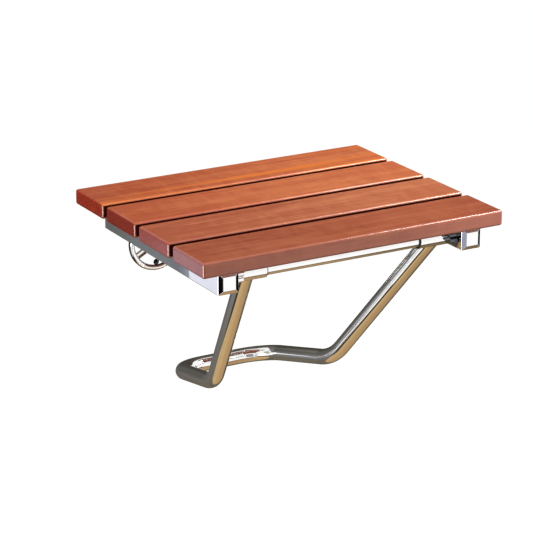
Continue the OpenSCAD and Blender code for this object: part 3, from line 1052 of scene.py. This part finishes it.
def make_screw():
    seat_z = rail_high.z - RAIL_WALL
    base = Vector((RAIL_X, SCREW_ROWS[-1], seat_z))
    under = base - Vector((0, 0, SCREW_HEAD_H))
    screw = rod_piece("screw", base, under, SCREW_HEAD_R, SCREW_FACETS)
    edit(screw)
    pick(screw, "EDGE", lambda edge: all(v.co.z < seat_z - SCREW_HEAD_H / 2 for v in edge.verts))
    round_picked(SCREW_HEAD_H * SCREW_DOME_SHARE, 5)
    pick(screw, "FACE", lambda face: face.normal.z > NEARLY_ALL)
    bpy.ops.mesh.inset(thickness=SCREW_HEAD_R - SCREW_R, depth=0)
    draw_on(Vector((0, 0, RAIL_WALL + SCREW_SHANK)))
    leave()
    for half_x, half_y in ((RECESS_REACH, RECESS_W / 2), (RECESS_W / 2, RECESS_REACH)):
        tool = box_piece("tool", under - Vector((half_x, half_y, OVERRUN)),
                         under + Vector((half_x, half_y, RECESS_DEPTH)))
        cut(screw, tool)
    return screw


def make_screws():
    first = make_screw()
    made_at = (RAIL_X, SCREW_ROWS[-1])
    spots = [(s * RAIL_X, y) for s in SIDES.values() for y in SCREW_ROWS]
    copies = [copy_of(first, "screw", (x - made_at[0], y - made_at[1], 0))
              for x, y in spots if (x, y) != made_at]
    made = join("slat_screws_zinc", [first] + copies)
    face_out(made)
    smooth(made)
    finish_piece(made, screw_zinc, "seat", "screw_zinc", "slat_screws")


make_screws()


# Stage: the floor, and cards that only reflections see, in metres
FLOOR_Z = -0.45
FLOOR_SIZE = 60
FLOOR_PAINT = (0.4, 0.39, 0.37, 1)
FLOOR_GLOW = 1.7
FLOOR_GLOW_SHARE = 0.5
THIN = 2 * MM
BLACK = (0.004, 0.004, 0.004)
# Cards of one colour: a name, the lower and the upper corner, a colour and its strength
PLAIN_CARDS = [
    ("dark_back", (-0.12, 0.4, 0.38), (1.3, 0.4 + THIN, 1.5), (0.1, 0.095, 0.08), 1.0),
    ("black_card_right", (0.9, -0.36, -0.39), (0.9 + THIN, -0.18, -0.12), BLACK, 1.0),
    ("black_card_left", (-0.66, -0.9, -0.33), (-0.44, -0.9 + THIN, -0.1), BLACK, 1.0),
    ("lavender_card", (-0.3, -0.9, FLOOR_Z), (0.05, -0.9 + THIN, -0.05), (0.33, 0.355, 0.43), 1.0),
    ("pale_left", (-0.585, 0.396, -0.28), (-0.506, 0.396 + THIN, -0.142), (0.84, 0.84, 0.95), 1.0),
    ("grey_far_left", (-1.02, 0.4, FLOOR_Z), (-0.80, 0.4 + THIN, 0.1), (0.55, 0.56, 0.58), 1.0),
    ("soft_left", (-1.3, -0.34, -0.2), (-1.3 + THIN, 0.35, 0.5), (0.46, 0.44, 0.36), 1.0),
    ("dim_front", (-0.5, -1.25, FLOOR_Z), (0.25, -1.25 + THIN, 0.45), (0.28, 0.25, 0.19), 1.0),
    ("left_glow", (-1.3, -1.15, FLOOR_Z), (-1.3 + THIN, -0.35, -0.08), WHITE, 12.0)]


def glow(name, colour, strength):
    """A material that shines with a colour and reflects nothing."""
    material, tree = empty_material(name)
    shader = add_node(tree, "ShaderNodeEmission", Color=(*colour, 1), Strength=strength)
    output = tree.nodes.new("ShaderNodeOutputMaterial")
    tree.links.new(shader.outputs["Emission"], output.inputs["Surface"])
    return material


def card(name, low, high, material):
    """A flat card for reflections. Camera, shadows and soft light don't see it."""
    made = box_piece(name, low, high)
    made.data.materials.append(material)
    made.visible_camera = False
    made.visible_diffuse = False
    made.visible_shadow = False
    made.visible_transmission = False


def streaks(tree, cycles, low):
    """Soft streaks between a low tone and white, with cycles to the metre along each axis."""
    share = remap(tree, noise(tree, cycles, 4, 0.6, 0.2), 0.35, 0.65, 0.0, 1.0)
    return blend_colours(tree, share, (low, low, low), WHITE)


def patterned(name, stops_along, cycles, low):
    """A material that shines with bands along some axes, and with soft streaks."""
    material = glow(name, WHITE, 1.0)
    tree = material.node_tree
    colour = streaks(tree, cycles, low)
    for axis, stops in stops_along.items():
        colour = tint(tree, colour, bands(tree, place_along(tree, axis), stops))
    tree.links.new(colour, tree.nodes["Emission"].inputs["Color"])
    return material


# The warm card: planks, brightest on the left, with a dark border in front and at the left
warm_planks = patterned("warm planks", {
    "X": [(-0.46, (0.06, 0.042, 0.02)), (-0.262, (0.06, 0.042, 0.02)), (-0.25, (0.68, 0.47, 0.24)),
          (-0.13, (0.67, 0.45, 0.217)), (-0.05, (0.57, 0.37, 0.168)), (0.1, (0.53, 0.335, 0.158)),
          (0.25, (0.48, 0.315, 0.16)), (0.36, (0.3, 0.2, 0.1)), (0.6, (0.1, 0.07, 0.04))],
    "Y": [(-0.63, (0.4, 0.4, 0.5)), (-0.5, (0.45, 0.44, 0.48)), (-0.44, WHITE), (0.0, WHITE)]},
    (9, 2.5, 1), 0.78)
# The wall card: dark and warm on the right, paler and bluer up to a line on its left
dim_wall = patterned("dim wall", {
    "X": [(-0.80, (0.15, 0.155, 0.15)), (-0.62, (0.13, 0.13, 0.125)), (-0.52, (0.14, 0.14, 0.14)),
          (-0.506, (0.30, 0.33, 0.385)), (-0.485, (0.21, 0.225, 0.24)),
          (-0.43, (0.18, 0.19, 0.195)), (-0.36, (0.16, 0.155, 0.14)), (-0.22, (0.12, 0.113, 0.098)),
          (0.0, (0.115, 0.11, 0.10)), (0.1, (0.075, 0.068, 0.055)), (0.5, (0.06, 0.054, 0.044))],
    "Z": [(-0.45, (1.5, 1.4, 1.45)), (-0.26, (1.35, 1.28, 1.3)), (-0.15, WHITE), (0.04, WHITE),
          (0.1, (1.5, 1.5, 1.45))]},
    (14, 1, 2.5), 0.72)
# The ground card below the wall: blue grey on the left, dark and warm on the right
dim_ground = patterned("dim ground", {
    "X": [(-0.6, (0.26, 0.275, 0.32)), (-0.42, (0.22, 0.225, 0.25)), (-0.33, (0.185, 0.18, 0.165)),
          (-0.2, (0.175, 0.155, 0.12)), (0.15, (0.16, 0.135, 0.10)), (0.4, (0.08, 0.065, 0.045))]},
    (3, 12, 1), 0.8)


def straight_rays(tree):
    """One for what the camera sees, in the open, in a mirror or through glass, else zero."""
    seen = tree.nodes.new("ShaderNodeLightPath")
    share = combine_values(tree, "MAXIMUM", seen.outputs["Is Camera Ray"],
                           seen.outputs["Is Glossy Ray"])
    return combine_values(tree, "MAXIMUM", share, seen.outputs["Is Transmission Ray"])


def make_floor():
    deselect()
    bpy.ops.mesh.primitive_plane_add(size=FLOOR_SIZE, location=(0, 0, FLOOR_Z))
    floor = added_piece("floor")
    material, tree = empty_material("pale floor")
    paint = add_node(tree, "ShaderNodeBsdfDiffuse", Color=FLOOR_PAINT)
    light = add_node(tree, "ShaderNodeEmission", Color=(*WHITE, 1), Strength=FLOOR_GLOW)
    share = combine_values(tree, "MULTIPLY", straight_rays(tree), FLOOR_GLOW_SHARE)
    mix = tree.nodes.new("ShaderNodeMixShader")
    output = tree.nodes.new("ShaderNodeOutputMaterial")
    tree.links.new(share, mix.inputs[0])
    tree.links.new(paint.outputs["BSDF"], mix.inputs[1])
    tree.links.new(light.outputs["Emission"], mix.inputs[2])
    # Seen from below, the floor is clear, so that the underside of the seat can be looked at
    below = tree.nodes.new("ShaderNodeNewGeometry").outputs["Backfacing"]
    clear = tree.nodes.new("ShaderNodeBsdfTransparent")
    either = tree.nodes.new("ShaderNodeMixShader")
    tree.links.new(below, either.inputs[0])
    tree.links.new(mix.outputs["Shader"], either.inputs[1])
    tree.links.new(clear.outputs["BSDF"], either.inputs[2])
    tree.links.new(either.outputs["Shader"], output.inputs["Surface"])
    floor.data.materials.append(material)


make_floor()
card("warm_card", (-0.46, -0.63, FLOOR_Z + THIN), (0.6, 0.0, FLOOR_Z + 2 * THIN), warm_planks)
card("grey_ground", (-0.6, -0.005, FLOOR_Z), (1.1, 0.4, FLOOR_Z + THIN), dim_ground)
card("grey_wall", (-0.80, 0.4, FLOOR_Z), (1.3, 0.4 + THIN, 0.38), dim_wall)
for name, card_low, card_high, colour, strength in PLAIN_CARDS:
    card(name, card_low, card_high, glow(name.replace("_", " "), colour, strength))


# Painted shade: black plugs on the wall behind the flanges' screw holes
PLUG_GAP = 0.1 * MM
PLUG_LEN = 0.3 * MM


def make_hole_shade_plugs():
    """Short black plugs of painted shade, so that the screw holes look as dark as they do on a
    wall.
    """
    for s in SIDES.values():
        for angle in HOLE_ANGLES:
            spot = Vector((s * FLANGE_X + s * SCREW_CIRCLE_R * math.cos(angle), PLUG_GAP,
                           SCREW_CIRCLE_R * math.sin(angle)))
            plug = rod_piece("hole_shade_plug", spot, spot + Vector((0, PLUG_LEN, 0)),
                             WALL_HOLE_R, PLUG_FACETS)
            plug.data.materials.append(glow("painted hole shade", BLACK, 1.0))


make_hole_shade_plugs()


# Light: a white room, a soft lamp above the right front, and two wide soft suns
ROOM_LIGHT = 0.15
KEY_PLACE = (1.0, -0.66, 1.15)
KEY_TARGET = (0.1, -0.2, 0.08)
KEY_SIZE = (0.5, 0.5)
KEY_RADIANCE = 24
# Each sun: its turn from +Y towards +X, its height and its spread, in degrees, and its strength
SUNS = [(175, 66, 50, 1.75), (-80, 25, 40, 1.1)]


def make_world():
    world = bpy.data.worlds.new("white studio")
    bpy.context.scene.world = world
    world.use_nodes = True
    tree = world.node_tree
    tree.nodes.clear()
    strength = remap(tree, straight_rays(tree), 0.0, 1.0, ROOM_LIGHT, 1.0)
    background = add_node(tree, "ShaderNodeBackground", Color=(*WHITE, 1))
    output = tree.nodes.new("ShaderNodeOutputWorld")
    tree.links.new(strength, background.inputs["Strength"])
    tree.links.new(background.outputs["Background"], output.inputs["Surface"])


def make_lamp():
    """A soft lamp whose face shines as bright as its radiance says."""
    data = bpy.data.lights.new("key_softbox", "AREA")
    data.shape = "RECTANGLE"
    data.size, data.size_y = KEY_SIZE
    data.energy = KEY_RADIANCE * math.pi * data.size * data.size_y
    lamp = bpy.data.objects.new("key_softbox", data)
    bpy.context.scene.collection.objects.link(lamp)
    lamp.location = KEY_PLACE
    towards = Vector(KEY_TARGET) - Vector(KEY_PLACE)
    lamp.rotation_euler = towards.to_track_quat("-Z", "Y").to_euler()


def make_sun(turn, height, spread, strength):
    """Even soft light from one side of the sky, which mirrors don't show."""
    data = bpy.data.lights.new("sun", "SUN")
    data.energy = strength
    data.angle = math.radians(spread)
    sun = bpy.data.objects.new("sun", data)
    bpy.context.scene.collection.objects.link(sun)
    turn, height = math.radians(turn), math.radians(height)
    level = math.cos(height)
    towards = Vector((math.sin(turn) * level, math.cos(turn) * level, math.sin(height)))
    sun.rotation_euler = towards.to_track_quat("Z", "Y").to_euler()
    sun.visible_glossy = False


make_world()
make_lamp()
for turn, height, spread, strength in SUNS:
    make_sun(turn, height, spread, strength)


# Camera, at the photograph's point of view
CAMERA_PLACE = (-1.3287, -2.4560, 0.9001)
CAMERA_AZIMUTH = math.radians(-29.663)
CAMERA_ELEVATION = math.radians(18.716)
CAMERA_LENS = 165.28


def make_camera():
    data = bpy.data.cameras.new("camera")
    data.lens = CAMERA_LENS
    data.sensor_width = 36
    data.clip_start = 0.05
    data.clip_end = 200
    camera = bpy.data.objects.new("camera", data)
    bpy.context.scene.collection.objects.link(camera)
    camera.location = CAMERA_PLACE
    level = math.cos(CAMERA_ELEVATION)
    ahead = Vector((-math.sin(CAMERA_AZIMUTH) * level, math.cos(CAMERA_AZIMUTH) * level,
                    -math.sin(CAMERA_ELEVATION)))
    camera.rotation_euler = ahead.to_track_quat("-Z", "Y").to_euler()
    bpy.context.scene.camera = camera


make_camera()
bpy.context.scene.view_settings.view_transform = "Standard"
